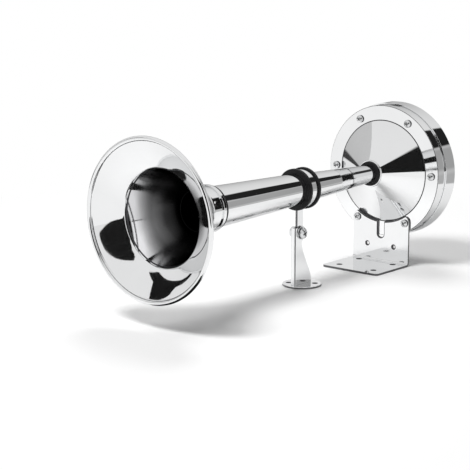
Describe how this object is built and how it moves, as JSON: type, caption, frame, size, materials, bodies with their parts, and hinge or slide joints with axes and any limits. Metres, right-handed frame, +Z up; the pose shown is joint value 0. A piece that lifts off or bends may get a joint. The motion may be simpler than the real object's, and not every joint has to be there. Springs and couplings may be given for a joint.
{
  "type": "air horn",
  "caption": "Polished steel marine trumpet horn with a flared bell, a round diaphragm driver, a rear angle bracket and a hinged front stand.",
  "frame": {"origin": "centre of the rear bracket's four base holes, on the underside of its base", "axes": "+X along the trumpet from the bell to the driver, +Z up from the deck, +Y to the left seen from the driver towards the bell's back"},
  "size_m": [0.299, 0.105, 0.1203],
  "materials": {
    "polished_steel": "mirror polish",
    "bright_sheet": "bright sheet",
    "screw_steel": "bright",
    "plated_steel": "zinc plated",
    "spring_steel": "cold rolled",
    "soft_iron": "machined",
    "black_rubber": "matt moulded",
    "gasket_fibre": "pressed sheet",
    "black_enamel": "baked enamel",
    "black_nylon": "moulded",
    "enamelled_wire": "enamelled copper wire",
    "brown_laminate": "pressed laminate",
    "contact_bronze": "spring bronze",
    "screw_brass": "turned",
    "tinned_brass": "tin plated"
  },
  "bodies": {
    "horn": {"bell": "polished_steel", "ferrule_ring": "polished_steel", "front_tube": "polished_steel", "rubber_ring": "black_rubber", "strap_clamp": "bright_sheet", "rear_tube": "polished_steel", "apex_collar": "black_rubber", "front_cover": "polished_steel", "throat_plate": "plated_steel", "front_gasket": "gasket_fibre", "diaphragm": "spring_steel", "rear_gasket": "gasket_fibre", "driver_frame": "black_enamel", "rear_cover": "polished_steel", "cover_screws": "screw_steel", "bracket_screws": "screw_steel", "cover_nuts": "plated_steel", "rear_bracket": "bright_sheet", "coil_bobbin": "black_nylon", "coil_winding": "enamelled_wire", "pole_core": "soft_iron", "stud_spacer": "black_nylon", "stud_washer": "screw_steel", "stud_nut": "screw_steel", "contact_insulators": "brown_laminate", "contact_root": "contact_bronze", "contact_arm": "contact_bronze", "contact_screws": "screw_steel", "adjuster_locknut": "screw_steel", "terminal_block": "black_nylon", "terminals": "tinned_brass"},
    "stand": {"front_stand": "bright_sheet", "pivot_screw": "screw_steel", "pivot_washers": "screw_steel", "pivot_nut": "screw_steel"},
    "plunger": {"armature": "soft_iron", "diaphragm_washers": "plated_steel", "diaphragm_nut": "plated_steel"},
    "leaf": {"contact_leaf": "contact_bronze"},
    "adjuster": {"adjusting_screw": "screw_brass"}
  },
  "joints": [
    {"name": "stand_pivot", "type": "hinge", "parent": "horn", "child": "stand", "pos_m": [-0.079, 0, 0.0373], "axis": [0, -1, 0], "range_deg": [-25, 90]},
    {"name": "armature_travel", "type": "slide", "parent": "horn", "child": "plunger", "axis": [1, 0, 0], "range_m": [0, 0.0008], "stiffness_N_per_m": 12000, "deforming": ["diaphragm"]},
    {"name": "leaf_flex", "type": "hinge", "parent": "horn", "child": "leaf", "pos_m": [0.02942, 0.024, 0.0678], "axis": [0, 0, 1], "range_deg": [0, 3.2]},
    {"name": "adjuster_turn", "type": "hinge", "parent": "horn", "child": "adjuster", "pos_m": [0.039, 0.034, 0.0678], "axis": [1, 0, 0], "range_deg": [-90, 90]}
  ],
  "couplings": [
    {"joint": "leaf_flex", "follows": "armature_travel", "rad_per_m": 69.5}
  ]
}
